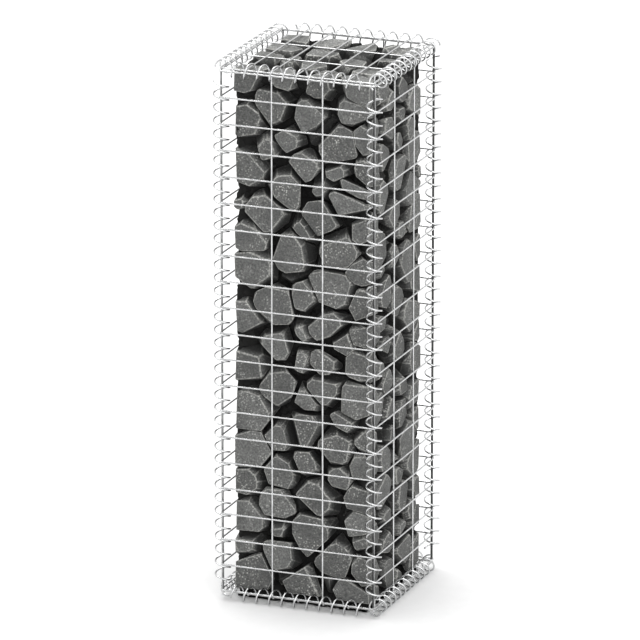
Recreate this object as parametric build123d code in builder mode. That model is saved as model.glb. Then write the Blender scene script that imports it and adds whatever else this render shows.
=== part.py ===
from build123d import *
from math import asin, atan, ceil, cos, pi
import os

os.makedirs("parts", exist_ok=True)

# Gabion column: six welded-wire panels laced along their twelve edges, filled with stone.
# Millimetres, +Z up, front towards -Y, standing on the lowest turns of its bottom spirals.

# Mesh of the panels
bay_width = 100
bay_height = 50
bays_across = 3
bays_up = 20
lid_runs_per_bay = 2
mesh_wire = 3.2
wire_sides = 8
weld_sink_share = 0.15

# Lacing spirals
spiral_wire = 3.2
spiral_radius = 14
turns_per_bay = 2

# Clearance wherever one piece rests on another
lacing_gap = 0.3

# Stone fill
fill_gap = 0.4
fill_headroom = 7
fill_corner = 12

# Crossing wires sink into each other at the weld; wires of two panels only touch
wire_turn = 180 / wire_sides
layer = mesh_wire * (1 - weld_sink_share)
seat = mesh_wire + lacing_gap

# Cage outline along the wire axes
half_cage = bays_across * bay_width / 2
cage_height = bays_up * bay_height
upright_length = cage_height + mesh_wire
cross_length = 2 * half_cage + mesh_wire
lid_bay = bay_width / lid_runs_per_bay
lid_runners = bays_across * lid_runs_per_bay + 1

# Heights of the wire layers, from the ground up
spiral_outer = 2 * spiral_radius + spiral_wire
base_rail_z = spiral_outer / 2
wall_foot_z = base_rail_z + seat
wall_head_z = wall_foot_z + cage_height
wall_mid_z = (wall_foot_z + wall_head_z) / 2
lid_rail_z = wall_head_z + seat
lid_runner_z = lid_rail_z + layer

# Side walls stand on the cage outline; front and back walls lie just outside them
side_rung_x = half_cage + layer
face_upright_y = half_cage + seat
face_rung_y = face_upright_y + layer

# Spirals run midway between the edge wires they lace; most stop short of the corners
lace_x = half_cage
lace_y = half_cage + seat / 2
wall_pitch = bay_height / turns_per_bay
lid_pitch = lid_bay / turns_per_bay
corner_stop = spiral_outer / 2 + seat

# The column is the same from opposite sides and upside down, so most pieces are turned copies
turn_round = Axis.Z
turn_forwards = Axis((0, 0, wall_mid_z), (1, 0, 0))
turn_sideways = Axis((0, 0, wall_mid_z), (0, 1, 0))
half_turn = 180


def strand_gap(pitch):
    """Distance along a spiral's axis from a crossing wire to the strand that rests against it."""
    climb = atan(pitch / (2 * pi * spiral_radius))
    return (mesh_wire / 2 + spiral_wire / 2 + lacing_gap) / cos(climb)


def lacing_start(pitch, wire_offset):
    """Distance from a corner to the first strand, beyond the stop, that rests short of a wire.

    The wires cross every whole number of turns, wire_offset outside the spiral's axis.
    """
    short = strand_gap(pitch) + pitch * asin(wire_offset / spiral_radius) / (2 * pi)
    return pitch * ceil((corner_stop + short) / pitch) - short


# Front wall: uprights inside, rungs welded across their outer side
with BuildPart() as front_panel:
    with BuildSketch(Plane.XY.offset(wall_foot_z - mesh_wire / 2)):
        with Locations((0, -face_upright_y)):
            with GridLocations(bay_width, bay_width, bays_across + 1, 1):
                RegularPolygon(mesh_wire / 2, wire_sides, major_radius=False, rotation=wire_turn)
    extrude(amount=upright_length)
    with BuildSketch(Plane.YZ.offset(-cross_length / 2)):
        with Locations((-face_rung_y, wall_mid_z)):
            with GridLocations(bay_height, bay_height, 1, bays_up + 1):
                RegularPolygon(mesh_wire / 2, wire_sides, major_radius=False, rotation=wire_turn)
    extrude(amount=cross_length)
front_panel.part.label = "front_panel"

# Back wall
with BuildPart() as back_panel:
    add(front_panel.part.rotate(turn_round, half_turn))
back_panel.part.label = "back_panel"

# Right wall: uprights on the cage outline, rungs welded across their outer side
with BuildPart() as right_panel:
    with BuildSketch(Plane.XY.offset(wall_foot_z - mesh_wire / 2)):
        with Locations((half_cage, 0)):
            with GridLocations(bay_width, bay_width, 1, bays_across + 1):
                RegularPolygon(mesh_wire / 2, wire_sides, major_radius=False, rotation=wire_turn)
    extrude(amount=upright_length)
    with BuildSketch(Plane.XZ.offset(-cross_length / 2)):
        with Locations((side_rung_x, wall_mid_z)):
            with GridLocations(bay_height, bay_height, 1, bays_up + 1):
                RegularPolygon(mesh_wire / 2, wire_sides, major_radius=False, rotation=wire_turn)
    extrude(amount=cross_length)
right_panel.part.label = "right_panel"

# Left wall
with BuildPart() as left_panel:
    add(right_panel.part.rotate(turn_round, half_turn))
left_panel.part.label = "left_panel"

# Lid: rails rest on the tips of the side walls' uprights, closer runners lie across the rails
with BuildPart() as lid_panel:
    with BuildSketch(Plane.YZ.offset(-cross_length / 2)):
        with Locations((0, lid_rail_z)):
            with GridLocations(bay_width, bay_width, bays_across + 1, 1):
                RegularPolygon(mesh_wire / 2, wire_sides, major_radius=False, rotation=wire_turn)
    extrude(amount=cross_length)
    with BuildSketch(Plane.XZ.offset(-cross_length / 2)):
        with Locations((0, lid_runner_z)):
            with GridLocations(lid_bay, lid_bay, lid_runners, 1):
                RegularPolygon(mesh_wire / 2, wire_sides, major_radius=False, rotation=wire_turn)
    extrude(amount=cross_length)
lid_panel.part.label = "lid_panel"

# Base: the lid turned over, so that the walls and the fill stand on its rails
with BuildPart() as base_panel:
    add(lid_panel.part.rotate(turn_forwards, half_turn))
base_panel.part.label = "base_panel"

# Upright spirals: left-hand coils, each second strand held just under a rung
right_start = lacing_start(wall_pitch, side_rung_x - lace_x)
left_start = lacing_start(wall_pitch, face_rung_y - lace_y)
right_foot = Plane((lace_x, -lace_y, wall_foot_z + right_start), x_dir=(0, 1, 0), z_dir=(0, 0, 1))
left_foot = Plane((-lace_x, -lace_y, wall_foot_z + left_start), x_dir=(1, 0, 0), z_dir=(0, 0, 1))
with BuildPart() as upright_coil:
    with BuildLine() as upright_strand:
        Helix(wall_pitch, cage_height - right_start - corner_stop, spiral_radius, lefthand=True)
    with BuildSketch(Plane(upright_strand.line @ 0, z_dir=upright_strand.line % 0)):
        Circle(spiral_wire / 2)
    sweep(path=upright_strand.line, is_frenet=True)

with BuildPart() as spiral_front_right:
    with Locations(right_foot):
        add(upright_coil.part)
spiral_front_right.part.label = "spiral_front_right"

with BuildPart() as spiral_front_left:
    with Locations(left_foot):
        add(upright_coil.part)
spiral_front_left.part.label = "spiral_front_left"

with BuildPart() as spiral_back_left:
    add(spiral_front_right.part.rotate(turn_round, half_turn))
spiral_back_left.part.label = "spiral_back_left"

with BuildPart() as spiral_back_right:
    add(spiral_front_left.part.rotate(turn_round, half_turn))
spiral_back_right.part.label = "spiral_back_right"

# Spirals along the front and back edges of lid and base: left-hand coils held by the uprights
face_start = lacing_start(lid_pitch, face_upright_y - lace_y)
face_corner = Plane((face_start - half_cage, -lace_y, lid_rail_z), x_dir=(0, 0, -1), z_dir=(1, 0, 0))
with BuildPart() as face_coil:
    with BuildLine() as face_strand:
        Helix(lid_pitch, 2 * (half_cage - face_start), spiral_radius, lefthand=True)
    with BuildSketch(Plane(face_strand.line @ 0, z_dir=face_strand.line % 0)):
        Circle(spiral_wire / 2)
    sweep(path=face_strand.line, is_frenet=True)

with BuildPart() as spiral_top_front:
    with Locations(face_corner):
        add(face_coil.part)
spiral_top_front.part.label = "spiral_top_front"

with BuildPart() as spiral_top_back:
    add(spiral_top_front.part.rotate(turn_round, half_turn))
spiral_top_back.part.label = "spiral_top_back"

with BuildPart() as spiral_bottom_front:
    add(spiral_top_front.part.rotate(turn_sideways, half_turn))
spiral_bottom_front.part.label = "spiral_bottom_front"

with BuildPart() as spiral_bottom_back:
    add(spiral_top_front.part.rotate(turn_forwards, half_turn))
spiral_bottom_back.part.label = "spiral_bottom_back"

# Spirals along the left and right edges of lid and base: right-hand coils from corner to corner,
# starting on the outer side and ending against the uprights of the far corner
quarter_turn = lid_pitch / 4
side_start = quarter_turn - strand_gap(lid_pitch)
side_corner = Plane((-lace_x, side_start - half_cage, lid_rail_z), x_dir=(-1, 0, 0), z_dir=(0, 1, 0))
with BuildPart() as side_coil:
    with BuildLine() as side_strand:
        Helix(lid_pitch, 2 * half_cage - quarter_turn, spiral_radius)
    with BuildSketch(Plane(side_strand.line @ 0, z_dir=side_strand.line % 0)):
        Circle(spiral_wire / 2)
    sweep(path=side_strand.line, is_frenet=True)

with BuildPart() as spiral_top_left:
    with Locations(side_corner):
        add(side_coil.part)
spiral_top_left.part.label = "spiral_top_left"

with BuildPart() as spiral_top_right:
    add(spiral_top_left.part.rotate(turn_round, half_turn))
spiral_top_right.part.label = "spiral_top_right"

with BuildPart() as spiral_bottom_right:
    add(spiral_top_left.part.rotate(turn_sideways, half_turn))
spiral_bottom_right.part.label = "spiral_bottom_right"

with BuildPart() as spiral_bottom_left:
    add(spiral_top_left.part.rotate(turn_forwards, half_turn))
spiral_bottom_left.part.label = "spiral_bottom_left"

# Stone fill: the packed mass of stones, clear of the spirals' inner turns, standing on the base
fill_inset = spiral_outer / 2 + fill_gap
fill_side = 2 * (half_cage - fill_inset)
fill_floor_z = base_rail_z + mesh_wire / 2 + lacing_gap
fill_top_z = wall_head_z - fill_headroom
with BuildPart() as stone_fill:
    with BuildSketch(Plane.XY.offset(fill_floor_z)) as fill_plan:
        Rectangle(fill_side, fill_side)
        chamfer(fill_plan.vertices(), fill_corner)
    extrude(amount=fill_top_z - fill_floor_z)
stone_fill.part.label = "stone_fill"

export_step(front_panel.part, "parts/front_panel.step")
export_step(back_panel.part, "parts/back_panel.step")
export_step(right_panel.part, "parts/right_panel.step")
export_step(left_panel.part, "parts/left_panel.step")
export_step(lid_panel.part, "parts/lid_panel.step")
export_step(base_panel.part, "parts/base_panel.step")
export_step(spiral_front_right.part, "parts/spiral_front_right.step")
export_step(spiral_front_left.part, "parts/spiral_front_left.step")
export_step(spiral_back_left.part, "parts/spiral_back_left.step")
export_step(spiral_back_right.part, "parts/spiral_back_right.step")
export_step(spiral_top_front.part, "parts/spiral_top_front.step")
export_step(spiral_top_back.part, "parts/spiral_top_back.step")
export_step(spiral_top_left.part, "parts/spiral_top_left.step")
export_step(spiral_top_right.part, "parts/spiral_top_right.step")
export_step(spiral_bottom_front.part, "parts/spiral_bottom_front.step")
export_step(spiral_bottom_back.part, "parts/spiral_bottom_back.step")
export_step(spiral_bottom_left.part, "parts/spiral_bottom_left.step")
export_step(spiral_bottom_right.part, "parts/spiral_bottom_right.step")
export_step(stone_fill.part, "parts/stone_fill.step")
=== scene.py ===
from math import cos, pi, radians, sin

import bmesh
import bpy
import numpy as np
from mathutils import Matrix, Vector


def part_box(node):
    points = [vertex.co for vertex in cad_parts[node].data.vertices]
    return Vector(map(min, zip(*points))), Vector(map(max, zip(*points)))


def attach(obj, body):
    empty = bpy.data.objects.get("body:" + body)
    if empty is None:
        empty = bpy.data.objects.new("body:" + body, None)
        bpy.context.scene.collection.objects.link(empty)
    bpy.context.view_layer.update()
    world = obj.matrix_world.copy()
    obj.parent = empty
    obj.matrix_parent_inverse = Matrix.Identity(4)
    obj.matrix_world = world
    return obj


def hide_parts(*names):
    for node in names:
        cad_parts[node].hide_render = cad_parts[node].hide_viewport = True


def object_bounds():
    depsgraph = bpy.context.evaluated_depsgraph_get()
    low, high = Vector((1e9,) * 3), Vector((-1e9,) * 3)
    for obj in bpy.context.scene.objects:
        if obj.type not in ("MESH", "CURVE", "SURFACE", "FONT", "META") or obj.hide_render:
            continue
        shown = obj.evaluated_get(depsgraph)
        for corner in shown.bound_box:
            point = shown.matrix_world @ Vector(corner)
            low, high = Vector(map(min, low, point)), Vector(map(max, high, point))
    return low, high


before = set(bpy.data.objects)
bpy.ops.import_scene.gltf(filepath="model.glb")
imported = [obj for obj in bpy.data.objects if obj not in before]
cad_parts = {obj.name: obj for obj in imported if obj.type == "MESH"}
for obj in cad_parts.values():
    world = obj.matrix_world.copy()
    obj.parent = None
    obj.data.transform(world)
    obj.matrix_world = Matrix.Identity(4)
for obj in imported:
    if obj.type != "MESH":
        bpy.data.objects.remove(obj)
cad_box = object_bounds()


# Galvanised finish of all the wire: drawn steel with a hot-dip zinc coat, bright grey with a cloudy
# mottle, small flakes and fine nibs. The corner uprights inside the spirals get painted shade, a darker
# coat.
# One node group gives the panels and the spirals the same coat.
zinc_dull = (0.42, 0.425, 0.43, 1)
zinc_bright = (0.88, 0.885, 0.885, 1)
flake_shades = 0.86, 1
rubbed_shades = 1, 0.1
zinc_roughness = 0.3, 0.15
nib_height = 0.0002


def feed(node, inputs):
    """Sets each input of a node to its value, or links it to the output that is given for it."""
    for name, value in inputs.items():
        if isinstance(value, bpy.types.NodeSocket):
            node.id_data.links.new(value, node.inputs[name])
        else:
            node.inputs[name].default_value = value


def add_node(tree, kind, inputs=None, **settings):
    """A new node of a tree, with its options set and its inputs fed."""
    node = tree.nodes.new(kind)
    for option, value in settings.items():
        setattr(node, option, value)
    feed(node, inputs or {})
    return node


def noise(tree, place, scale, detail):
    """Cloudy noise from 0 to 1, in clouds of about one metre / scale."""
    inputs = {"Vector": place, "Scale": scale, "Detail": detail}
    return add_node(tree, "ShaderNodeTexNoise", inputs).outputs["Fac"]


def ramp(tree, value, to=(0, 1), over=(0, 1)):
    """A value carried in a straight line from the range over to the range to, and held at its ends."""
    inputs = {"Value": value, "From Min": over[0], "From Max": over[1], "To Min": to[0], "To Max": to[1]}
    return add_node(tree, "ShaderNodeMapRange", inputs).outputs["Result"]


def mixed(tree, factor, first, second, blend="MIX"):
    """Two colours blended: the first where the factor is 0, the blend with the second where it is 1."""
    inputs = {"Factor": factor, "A": first, "B": second}
    return add_node(tree, "ShaderNodeMix", inputs, data_type="RGBA", blend_type=blend).outputs["Result"]


def bumped(tree, height, strength, distance, over=None):
    """The normal of a surface that a height from 0 to 1 raises by a distance, over another such normal."""
    bump = add_node(tree, "ShaderNodeBump", {"Height": height, "Strength": strength, "Distance": distance})
    if over is not None:
        feed(bump, {"Normal": over})
    return bump.outputs["Normal"]


def new_material(name):
    """A material, its node tree and its surface shader."""
    material = bpy.data.materials.new(name)
    material.use_nodes = True
    return material, material.node_tree, material.node_tree.nodes["Principled BSDF"]


zinc = bpy.data.node_groups.new("zinc_coat", "ShaderNodeTree")
zinc_sockets = {"Color": "NodeSocketColor", "Roughness": "NodeSocketFloat", "Normal": "NodeSocketVector"}
for name, kind in zinc_sockets.items():
    zinc.interface.new_socket(name, in_out="OUTPUT", socket_type=kind)
place = add_node(zinc, "ShaderNodeTexCoord").outputs["Object"]
cloud = noise(zinc, place, scale=70, detail=4)
nibs = noise(zinc, place, scale=900, detail=2)
spangle = add_node(zinc, "ShaderNodeTexVoronoi", {"Vector": place, "Scale": 260}).outputs["Color"]
flake = add_node(zinc, "ShaderNodeSeparateColor", {"Color": spangle}).outputs["Red"]
rub = add_node(zinc, "ShaderNodeAttribute", attribute_name="rubbed").outputs["Fac"]
coat = mixed(zinc, cloud, zinc_dull, zinc_bright)
coat = mixed(zinc, 1, coat, ramp(zinc, flake, flake_shades), "MULTIPLY")
# Painted shade: the coat of the corner uprights, inside the spirals, is darkened to a tenth
coat = mixed(zinc, 1, coat, ramp(zinc, rub, rubbed_shades), "MULTIPLY")
nib_normal = bumped(zinc, nibs, strength=0.25, distance=nib_height)
add_node(zinc, "NodeGroupOutput",
         {"Color": coat, "Roughness": ramp(zinc, cloud, zinc_roughness), "Normal": nib_normal})

galvanised, tree, steel = new_material("galvanised_wire")
coat = add_node(tree, "ShaderNodeGroup", node_tree=zinc).outputs
feed(steel, {"Metallic": 1, "Base Color": coat["Color"], "Roughness": coat["Roughness"],
             "Normal": coat["Normal"]})


# Welded-wire panels: round wires in two layers, the inner ones on the cage and the outer ones across
# them, pressed together by a spot weld at every crossing. Each panel takes its place from its CAD box.
wire = 0.0032
wire_sides = 12
wire_end_bevel = wire / 8
bead_sides = 8
bead_radius_shares = np.array([0.35, 0.58, 0.66, 0.58, 0.35])
bead_height_shares = np.array([-0.34, -0.2, 0, 0.2, 0.34])
crease = radians(40)
bay_width, bay_height = 0.1, 0.05
runner_pitch = bay_width / 2
corner_spiral_shade = 0.5, 1
X, Y, Z = 0, 1, 2


def turned(centres, along, stations, radii, sides):
    """Round bars about lines parallel to one axis, as points and faces.

    Point = centre + station * axis + radius * (cos(turn), sin(turn)) in the two other axes, with the
    turn in equal steps round the bar; the radius goes with the station. Both ends are closed.
    """
    turn = 2 * pi * np.arange(sides) / sides
    ring = np.zeros((len(stations), sides, 3))
    ring[..., along] = np.array(stations)[:, None]
    ring[..., (along + 1) % 3] = np.outer(radii, np.cos(turn))
    ring[..., (along + 2) % 3] = np.outer(radii, np.sin(turn))
    points = (np.asarray(centres)[:, None, None] + ring).reshape(-1, 3)
    index = np.arange(len(points)).reshape(len(centres), len(stations), sides)
    near, far = index[:, :-1], index[:, 1:]
    skin = np.stack([near, np.roll(near, -1, 2), np.roll(far, -1, 2), far], -1).reshape(-1, 4)
    caps = np.concatenate([index[:, 0, ::-1], index[:, -1]])
    return points, skin.tolist() + caps.tolist()


def placed(name, data):
    """A new object of the scene that holds a mesh, a lamp or a camera."""
    piece = bpy.data.objects.new(name, data)
    bpy.context.scene.collection.objects.link(piece)
    return piece


def joined(name, parts):
    """One smooth mesh object from (points, faces) parts, with its sharp edges kept."""
    points, faces = [], []
    for part_points, part_faces in parts:
        start = sum(map(len, points))
        faces += [[corner + start for corner in face] for face in part_faces]
        points.append(part_points)
    mesh = bpy.data.meshes.new(name)
    mesh.from_pydata(np.concatenate(points), [], faces)
    mesh.shade_smooth()
    mesh.set_sharp_from_angle(angle=crease)
    return placed(name, mesh)


def welded_panel(node, inner_axis, outer_axis, inner_pitch, outer_pitch, outside):
    """Wires along inner_axis nearest the stones and along outer_axis on the outside, with their welds.

    Each layer lies half a wire inside its face of the node's box, with its wires in equal steps. The beads
    stand at the crossings, halfway between the layers. The uprights at the corners are marked for the
    painted shade of the spirals.
    """
    low, high = np.array(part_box(node))
    thick_axis = 3 - inner_axis - outer_axis
    layers = {1: high[thick_axis] - wire / 2, -1: low[thick_axis] + wire / 2}
    radii = wire / 2 - wire_end_bevel * np.array([1, 0, 0, 1])
    spots, parts = {}, []
    for run, across, pitch, layer in ((inner_axis, outer_axis, inner_pitch, -outside),
                                      (outer_axis, inner_axis, outer_pitch, outside)):
        count = round((high[across] - low[across] - wire) / pitch) + 1
        spots[across] = np.linspace(low[across] + wire / 2, high[across] - wire / 2, count)
        centres = np.zeros((count, 3))
        centres[:, run] = low[run]
        centres[:, across] = spots[across]
        centres[:, thick_axis] = layers[layer]
        length = high[run] - low[run]
        stations = [0, wire_end_bevel, length - wire_end_bevel, length]
        parts.append(turned(centres, run, stations, radii, wire_sides))
    welds = np.zeros((len(spots[outer_axis]), len(spots[inner_axis]), 3))
    welds[..., outer_axis] = spots[outer_axis][:, None]
    welds[..., inner_axis] = spots[inner_axis]
    welds[..., thick_axis] = (layers[1] + layers[-1]) / 2
    parts.append(turned(welds.reshape(-1, 3), thick_axis, wire * bead_height_shares,
                        wire * bead_radius_shares, bead_sides))
    panel = joined(node + "_wires", parts)
    if inner_axis == Z:
        rubbed = np.zeros(len(panel.data.vertices))
        uprights = rubbed[:len(parts[0][0])].reshape(len(spots[outer_axis]), -1)
        # Painted shade of the spirals on the corner uprights
        uprights[0], uprights[-1] = corner_spiral_shade
        panel.data.attributes.new("rubbed", "FLOAT", "POINT").data.foreach_set("value", rubbed)
    panel.data.materials.append(galvanised)
    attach(panel, "root")
    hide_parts(node)


welded_panel("front_panel", Z, X, bay_width, bay_height, -1)
welded_panel("back_panel", Z, X, bay_width, bay_height, 1)
welded_panel("left_panel", Z, Y, bay_width, bay_height, -1)
welded_panel("right_panel", Z, Y, bay_width, bay_height, 1)
welded_panel("lid_panel", X, Y, bay_width, runner_pitch, 1)
welded_panel("base_panel", X, Y, bay_width, runner_pitch, -1)


# Lacing spirals: coils of the same galvanised wire, wound through the edges of two panels to close the
# cage. The CAD coils are true helices of round wire, so they keep their shape and only take the zinc coat.
for name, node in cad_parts.items():
    if name.startswith("spiral_"):
        node.material_slots[0].material = galvanised


# Stone fill: broken basalt about a fist across, packed face out. Each stone is a cell of the pile with
# flat broken faces, corners knocked off, a gap to its neighbours darkened by painted shade, slightly worn
# edges.
stone_count = 330
stone_squat = 1.16
fill_ease = 0.0003
pile_margin = 0.008
seed_jitter = 0.006
relax_rounds, relax_samples = 6, 24000
bulk_spread = 0.0007
stone_reach = 0.17
neighbours = 20
outer_row = 0.05
stone_gap = 0.014
narrow_gap_share = 0.1
open_gap_factor = 2.2
column_edge, column_edge_fade = 0.045, 0.03
column_edge_gap_share = 0.08
face_tilt = 0.05
flanks = 8
flank_jitter = 0.35
flank_share, flank_power = 0.55, 1.5
flank_leans = radians(52), radians(78)
next_side_cosine = 0.4
next_side_flank_share = 0.12
corner_reach = 1.2
corner_lean = radians(65)
edge_wear = 0.0018
edge_wear_shares = 0.7, 1.3
flush_tolerance = 0.00001
sliver_width = 0.00018
weld_distance = 0.00002
basalt_dark = (0.105, 0.107, 0.104, 1)
basalt_pale = (0.215, 0.217, 0.210, 1)
fleck_colour = (0.6, 0.6, 0.57, 1)
rim_colour = (0.56, 0.56, 0.53, 1)
stone_shades = 0.78, 1.2
fleck_edge = 0.36, 0.22
fleck_patches = 0.4, 0.7
shade_depths, painted_shade_levels = (0.0025, 0.014), (1, 0.18)
speckle_grain, speckle_shades = (0.3, 0.7), (0.5, 1.4)
basalt_roughness = 0.72, 0.95
chip_mark_height, pit_height = 0.006, 0.0012
LEFT, FRONT, BELOW, RIGHT, BACK, TOP = range(6)
sides = np.concatenate([-np.eye(3), np.eye(3)])
fill_low, fill_high = np.array(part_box("stone_fill")) + fill_ease * np.array([[1, 1, 0], [-1, -1, 0]])
fill_high[Z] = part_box("lid_panel")[0][Z] - fill_ease
limits = np.concatenate([-fill_low, fill_high])
squat = np.array([1, 1, stone_squat])
rng = np.random.default_rng(41)


def relaxed_seeds(count, rounds, samples):
    """Stone centres spread evenly: each moves to the mean of the random points nearest to it, in turn."""
    low, high = (fill_low - pile_margin) * squat, (fill_high + pile_margin) * squat
    seeds = rng.uniform(low, high, (count, 3))
    for _ in range(rounds):
        points = rng.uniform(low, high, (samples, 3))
        nearest = ((seeds ** 2).sum(1) - 2 * points @ seeds.T).argmin(1)
        share = np.maximum(np.bincount(nearest, minlength=count), 1)
        sums = [np.bincount(nearest, points[:, axis], count) for axis in (X, Y, Z)]
        seeds = np.stack(sums, 1) / share[:, None]
    return seeds / squat + rng.uniform(-seed_jitter, seed_jitter, (count, 3))


def unit(vectors):
    """The same vectors at length one."""
    return vectors / np.linalg.norm(vectors, axis=-1, keepdims=True)


def corners_of(stone):
    """The corners of a stone as an array of points."""
    return np.array([vert.co for vert in stone.verts])


def cut(stone, points, normals):
    """Cuts a stone by planes one after another and closes each cut with a flat face."""
    for point, normal in zip(points, normals):
        parts = stone.verts[:] + stone.edges[:] + stone.faces[:]
        halved = bmesh.ops.bisect_plane(stone, geom=parts, plane_co=point, plane_no=normal,
                                        clear_outer=True)
        rim = [part for part in halved["geom_cut"] if isinstance(part, bmesh.types.BMEdge)]
        bmesh.ops.holes_fill(stone, edges=rim, sides=0)


def pile_cell(number):
    """One stone's cell of the pile: a block cut by a plane towards each neighbour and at each limit.

    A plane lies at distance / 2 + difference of bulk / (2 * distance) - gap / 2 from the seed. The gap is
    random, nearly shut along the upright edges of the column, and wide on its left, right and top.
    """
    seed = seeds[number]
    apart = np.linalg.norm(seeds - seed, axis=1)
    near = np.argsort(apart)[1:neighbours + 1]
    towards = unit(seeds[near] - seed)
    from_sides = limits - (seeds[near] + seed) / 2 @ sides.T
    from_column_edge = np.sort(from_sides[:, [LEFT, FRONT, RIGHT, BACK]], 1)[:, 1]
    gap = stone_gap * rng.uniform(narrow_gap_share, 1, len(near))
    gap *= np.clip((from_column_edge - column_edge) / column_edge_fade, column_edge_gap_share, 1)
    for row in (left_right_row, top_row):
        gap[row[near] & row[number]] *= open_gap_factor
    halfway = apart[near] / 2 + (bulk[number] - bulk[near]) / (2 * apart[near]) - gap / 2
    stone = bmesh.new()
    bmesh.ops.create_cube(stone, size=2 * stone_reach, matrix=Matrix.Translation(seed))
    cut(stone, seed + towards * halfway[:, None], towards)
    cut(stone, seed + sides * (limits - sides @ seed)[:, None], sides)
    return stone


def knock_flanks(stone, face, side, across, open_sides):
    """Cuts steep broken flanks that slope from the rim of an outer face back into the gaps.

    Flanks stand round the face in nearly equal turns. Each starts at rim * (1 - share) from the middle and
    leans by its own angle. Towards a neighbouring outer face it only takes a little.
    """
    middle = face.mean(0)
    first_turn = rng.uniform(0, 2 * pi)
    jitter = rng.uniform(-flank_jitter, flank_jitter, flanks)
    turn = first_turn + 2 * pi * (np.arange(flanks) + jitter) / flanks
    outward = np.stack([np.cos(turn), np.sin(turn)], 1) @ across
    rim = ((face - middle) @ outward.T).max(0)
    share = flank_share * rng.uniform(0, 1, flanks) ** flank_power
    share[(outward @ sides[open_sides].T).max(1) > next_side_cosine] *= next_side_flank_share
    lean = rng.uniform(*flank_leans, flanks)[:, None]
    starts = middle + outward * (rim * (1 - share))[:, None]
    cut(stone, starts, np.sin(lean) * outward + np.cos(lean) * sides[side])


def knock_corners(stone, outline, side, across, open_sides):
    """Cuts off the corners of an outer face that stand out past a circle about its middle.

    Radius of the circle = corner_reach * square root of (area of the face / pi).
    """
    middle = outline.mean(0)
    flat = (outline - middle) @ across.T
    flat = flat[np.argsort(np.arctan2(flat[:, 1], flat[:, 0]))]
    ahead = np.roll(flat, -1, 0)
    area = abs((flat[:, 0] * ahead[:, 1] - flat[:, 1] * ahead[:, 0]).sum()) / 2
    radius = corner_reach * np.sqrt(area / pi)
    spokes = unit(flat) @ across
    clear = (spokes @ sides[open_sides].T).max(1) < next_side_cosine
    spokes = spokes[clear & (np.linalg.norm(flat, axis=1) > radius)]
    cut(stone, middle + spokes * radius, sin(corner_lean) * spokes + cos(corner_lean) * sides[side])


def math_node(tree, operation, first, second):
    """One value worked out from two, such as their product or the smaller one."""
    return add_node(tree, "ShaderNodeMath", {0: first, 1: second}, operation=operation).outputs["Value"]


def vector_node(tree, operation, *vectors):
    """One vector worked out from others, axis by axis."""
    inputs = dict(enumerate(vectors))
    return add_node(tree, "ShaderNodeVectorMath", inputs, operation=operation).outputs["Vector"]


seeds = relaxed_seeds(stone_count, relax_rounds, relax_samples)
bulk = rng.uniform(-bulk_spread, bulk_spread, stone_count)
near_side = limits - seeds @ sides.T < outer_row
left_right_row, top_row = near_side[:, LEFT] | near_side[:, RIGHT], near_side[:, TOP]
pile = bmesh.new()
scratch = bpy.data.meshes.new("stone_scratch")
for number in range(stone_count):
    stone = pile_cell(number)

    # One broad flat face on each outer side, tilted a little and nowhere proud of the fill
    body = corners_of(stone)
    flush = np.abs(body @ sides.T - limits) < flush_tolerance
    open_sides = np.flatnonzero(flush.sum(0) >= 3)
    tilts = unit(sides + rng.uniform(-face_tilt, face_tilt, sides.shape))[open_sides]
    faces = [body[flush[:, side]] for side in open_sides]
    shelves = [(face @ tilt).min() for face, tilt in zip(faces, tilts)]
    cut(stone, [tilt * shelf for tilt, shelf in zip(tilts, shelves)], tilts)

    # Broken flanks and corners round each outer face
    for side, face, tilt, shelf in zip(open_sides, faces, tilts, shelves):
        across = np.roll(np.eye(3), -(side % 3) - 1, 0)[:2]
        knock_flanks(stone, face, side, across, open_sides)
        outline = corners_of(stone)
        outline = outline[np.abs(outline @ tilt - shelf) < flush_tolerance]
        if len(outline) >= 3:
            knock_corners(stone, outline, side, across, open_sides)

    # Worn edges, on stones that show
    bmesh.ops.remove_doubles(stone, verts=stone.verts, dist=2 * edge_wear)
    bmesh.ops.dissolve_degenerate(stone, edges=stone.edges, dist=sliver_width)
    bmesh.ops.recalc_face_normals(stone, faces=stone.faces)
    worn = stone.faces.layers.float.new("worn_edge")
    tone = stone.faces.layers.float.new("stone_tone")
    rims = []
    if len(open_sides):
        wear = edge_wear * rng.uniform(*edge_wear_shares)
        rims = bmesh.ops.bevel(stone, geom=stone.edges[:], offset=wear, offset_type="OFFSET", segments=2,
                               profile=0.5, affect="EDGES", clamp_overlap=True)["faces"]
    shade = rng.uniform(0, 1)
    for face in stone.faces:
        face[tone] = shade
    for face in rims:
        face[worn] = 1
        face.smooth = True
    bmesh.ops.remove_doubles(stone, verts=stone.verts, dist=weld_distance)
    bmesh.ops.dissolve_degenerate(stone, edges=stone.edges, dist=weld_distance)
    stone.to_mesh(scratch)
    stone.free()
    pile.from_mesh(scratch)
bpy.data.meshes.remove(scratch)
stone_mesh = bpy.data.meshes.new("stones")
pile.to_mesh(stone_mesh)
pile.free()
stones = placed("stones", stone_mesh)

basalt, tree, rock = new_material("broken_basalt")
place = add_node(tree, "ShaderNodeTexCoord").outputs["Object"]
tone = add_node(tree, "ShaderNodeAttribute", attribute_name="stone_tone").outputs["Fac"]
worn = add_node(tree, "ShaderNodeAttribute", attribute_name="worn_edge").outputs["Fac"]
patches = noise(tree, place, scale=28, detail=6)
grain = noise(tree, place, scale=330, detail=4)
flecks = add_node(tree, "ShaderNodeTexVoronoi", {"Vector": place, "Scale": 210}).outputs["Distance"]
flecks = ramp(tree, flecks, over=fleck_edge)
flecks = math_node(tree, "MULTIPLY", flecks, ramp(tree, patches, over=fleck_patches))
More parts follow.
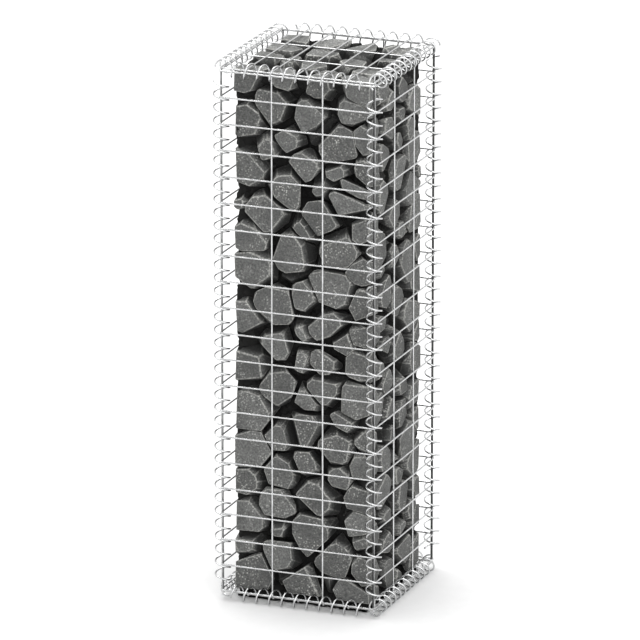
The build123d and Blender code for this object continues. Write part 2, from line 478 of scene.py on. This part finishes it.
# Depth below the nearest face of the fill, for the painted shade in the gaps
from_middle = vector_node(tree, "SUBTRACT", place, (fill_low + fill_high) / 2)
from_middle = vector_node(tree, "ABSOLUTE", from_middle)
inside = vector_node(tree, "SUBTRACT", (fill_high - fill_low) / 2, from_middle)
inside = add_node(tree, "ShaderNodeSeparateXYZ", {"Vector": inside}).outputs
depth = math_node(tree, "MINIMUM", inside["X"], inside["Y"])
depth = math_node(tree, "MINIMUM", depth, inside["Z"])
colour = mixed(tree, patches, basalt_dark, basalt_pale)
colour = mixed(tree, 1, colour, ramp(tree, tone, stone_shades), "MULTIPLY")
colour = mixed(tree, flecks, colour, fleck_colour)
colour = mixed(tree, math_node(tree, "MULTIPLY", worn, grain), colour, rim_colour)
# Painted shade: the stones darken with depth below the faces of the fill, into the gaps
colour = mixed(tree, 1, colour, ramp(tree, depth, painted_shade_levels, over=shade_depths), "MULTIPLY")
colour = mixed(tree, 1, colour, ramp(tree, grain, speckle_shades, over=speckle_grain), "MULTIPLY")
chip_marks = bumped(tree, patches, strength=0.5, distance=chip_mark_height)
pits = bumped(tree, grain, strength=0.5, distance=pit_height, over=chip_marks)
feed(rock, {"Base Color": colour, "Roughness": ramp(tree, grain, basalt_roughness), "Normal": pits})
stones.data.materials.append(basalt)
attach(stones, "root")
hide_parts("stone_fill")


# Chippings: small broken pieces and grit that lie behind the stones and trickle through the base mesh
# to the ground. They are of the same basalt, painted nearly black as the shade in the gaps and under the
# column.
chip_size = 0.013
chip_step = 0.0045
chip_round = 0.012
chip_edge_depth, chip_depth = 0.003, 0.034
chip_edge_reach = 0.05
chip_relief = 0.003
chip_slope = 0.35
ground_gap = 0.0015
chip_shade_black = (0.004, 0.004, 0.004, 1)
chip_shade_grey = (0.026, 0.026, 0.025, 1)
chip_roughness = 0.7, 0.95
chip_grain_height = 0.003


def box_skin(low, high, step):
    """A closed box as points and faces: on each side a grid in two axes, with the third at its end."""
    points, faces, start = [], [], 0
    steps = np.round((high - low) / step).astype(int) + 1
    for axis in (X, Y, Z):
        first, second = (axis + 1) % 3, (axis + 2) % 3
        rows, columns = [np.linspace(low[a], high[a], steps[a]) for a in (first, second)]
        for end in (high, low):
            grid = np.empty((len(rows), len(columns), 3))
            grid[..., axis] = end[axis]
            grid[..., first] = rows[:, None]
            grid[..., second] = columns
            index = start + np.arange(grid.size // 3).reshape(grid.shape[:2])
            quads = np.stack([index[:-1, :-1], index[1:, :-1], index[1:, 1:], index[:-1, 1:]], -1)
            quads = quads.reshape(-1, 4)
            points.append(grid.reshape(-1, 3))
            faces.append(quads if end is high else quads[:, ::-1])
            start += len(points[-1])
    points, merged = np.unique(np.concatenate(points).round(7), axis=0, return_inverse=True)
    return points, merged.reshape(-1)[np.concatenate(faces)]


def chipped(points, low, high):
    """Points of a box skin sunk into a bed of chips.

    Point = core + (round - depth) * normal, with the normals of a rounded box. The depth grows from the
    edges of the box to the middle of its sides. Each chip is what lies nearest to one random seed, and it
    adds its own level and its own slope times the distance from the seed.
    """
    cells = np.ceil((high - low) / chip_size).astype(int) + 3
    spread, level = rng.uniform(0, 1, (*cells, 3)), rng.uniform(-1, 1, cells)
    slope = rng.uniform(-chip_slope, chip_slope, (*cells, 3))
    home = np.floor((points - low) / chip_size).astype(int) + 1
    around = home[:, None] + np.stack(np.meshgrid(*[[-1, 0, 1]] * 3, indexing="ij"), -1).reshape(-1, 3)
    around = np.clip(around, 0, cells - 1)
    chip = tuple(np.moveaxis(around, -1, 0))
    away = points[:, None] - (low + (around - 1 + spread[chip]) * chip_size)
    nearest = (np.arange(len(points)), (away ** 2).sum(-1).argmin(1))
    own = tuple(part[nearest] for part in chip)
    from_edge = np.sort(np.minimum(points - low, high - points), 1)[:, 1]
    depth = chip_edge_depth + (chip_depth - chip_edge_depth) * np.clip(from_edge / chip_edge_reach, 0, 1)
    depth += chip_relief * level[own] + (slope[own] * away[nearest]).sum(1)
    core = np.clip(points, low + chip_round, high - chip_round)
    return core + unit(points - core) * (chip_round - np.maximum(depth, ground_gap))[:, None]


bed_low = np.array([fill_low[X], fill_low[Y], -chip_round])
bed_points, bed_faces = box_skin(bed_low, fill_high, chip_step)
bed_points = chipped(bed_points, bed_low, fill_high)
bed_points[:, Z] = np.maximum(bed_points[:, Z], ground_gap)
chip_mesh = bpy.data.meshes.new("chippings")
chip_mesh.from_pydata(bed_points, [], bed_faces)
chippings = placed("chippings", chip_mesh)

shade_black_chips, tree, grit = new_material("shade_black_chippings")
mottle = noise(tree, add_node(tree, "ShaderNodeTexCoord").outputs["Object"], scale=120, detail=5)
# Painted shade: the chippings are coloured nearly black, the shade of the gaps and of the column's foot
feed(grit, {"Base Color": mixed(tree, mottle, chip_shade_black, chip_shade_grey),
            "Roughness": ramp(tree, mottle, chip_roughness),
            "Normal": bumped(tree, mottle, strength=0.5, distance=chip_grain_height),
            "Specular IOR Level": 0.2})
chippings.data.materials.append(shade_black_chips)
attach(chippings, "root")
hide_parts("stone_fill")


# Stage: a pale paper floor under a bright overhead sky, with the soft shadow of the column round its
# foot. The sky and the floor look white to the camera and in the metal, and light the column less.
floor_half = 12
paper_shades = (0.80, 0.80, 0.80, 1), (0.84, 0.84, 0.84, 1)
paper_bounce = (0.36, 0.36, 0.36, 1)
sky_heights, sky_strengths = (0, 0.9), (0.42, 0.95)
white = (1, 1, 1, 1)


def in_sight(tree):
    """1 for what the camera sees, straight or mirrored, and 0 for what only lights the column."""
    ray = add_node(tree, "ShaderNodeLightPath").outputs
    return math_node(tree, "MAXIMUM", ray["Is Camera Ray"], ray["Is Glossy Ray"])


def direction(azimuth, elevation):
    """Unit vector away from the column: azimuth turns from the front to the right, elevation lifts it."""
    return Vector((sin(azimuth) * cos(elevation), -cos(azimuth) * cos(elevation), sin(elevation)))


def soft_lamp(name, strength, spread, azimuth, elevation):
    """A lamp far off in one direction, as broad as its spread; all angles in degrees."""
    lamp = bpy.data.lights.new(name, "SUN")
    lamp.energy = strength
    lamp.angle = radians(spread)
    shining_from = direction(radians(azimuth), radians(elevation))
    placed(name, lamp).rotation_euler = shining_from.to_track_quat("Z", "Y").to_euler()


floor_mesh = bpy.data.meshes.new("floor")
floor_corners = floor_half * np.array([(-1, -1, 0), (1, -1, 0), (1, 1, 0), (-1, 1, 0)])
floor_mesh.from_pydata(floor_corners, [], [(0, 1, 2, 3)])
floor = placed("floor", floor_mesh)
paper, tree, sheet = new_material("pale_floor")
fibre = noise(tree, add_node(tree, "ShaderNodeTexCoord").outputs["Object"], scale=40, detail=2)
pale = mixed(tree, in_sight(tree), paper_bounce, mixed(tree, fibre, *paper_shades))
feed(sheet, {"Base Color": pale, "Roughness": 0.9, "Specular IOR Level": 0})
floor.data.materials.append(paper)

world = bpy.data.worlds.new("studio")
world.use_nodes = True
bpy.context.scene.world = world
sky = world.node_tree
sky.nodes.clear()
upward = add_node(sky, "ShaderNodeTexCoord").outputs["Generated"]
rise = add_node(sky, "ShaderNodeSeparateXYZ", {"Vector": upward}).outputs["Z"]
glow = ramp(sky, rise, sky_strengths, over=sky_heights)
lit = add_node(sky, "ShaderNodeBackground", {"Color": white, "Strength": glow}).outputs["Background"]
seen = add_node(sky, "ShaderNodeBackground", {"Color": white}).outputs["Background"]
shown = add_node(sky, "ShaderNodeMixShader", {"Fac": in_sight(sky), 1: lit, 2: seen}).outputs["Shader"]
add_node(sky, "ShaderNodeOutputWorld", {"Surface": shown})
soft_lamp("overhead", strength=2.2, spread=40, azimuth=222, elevation=82)
soft_lamp("front_softbox", strength=1.5, spread=60, azimuth=40, elevation=12)
bpy.context.scene.view_settings.view_transform = "Standard"


# Camera: a long lens from the front right and above, aimed so that the column stands where it does in
# the photo. The offsets of the column from the middle of the picture are in its pixels.
azimuth, elevation, distance = radians(21.49), radians(17.04), 14.0
lens, photo_side, sensor = 425.0, 640, 36.0
off_right, off_up = 7.97, 1.35
column = (Vector(cad_box[0]) + Vector(cad_box[1])) / 2
back = direction(azimuth, elevation)
right = Vector((cos(azimuth), sin(azimuth), 0))
pixel = distance * sensor / (lens * photo_side)
aim = column - right * off_right * pixel - back.cross(right) * off_up * pixel
camera_data = bpy.data.cameras.new("camera")
camera_data.lens = lens
camera_data.sensor_width = sensor
camera = placed("camera", camera_data)
camera.location = column + back * distance
camera.rotation_euler = (camera.location - aim).to_track_quat("Z", "Y").to_euler()
bpy.context.scene.camera = camera
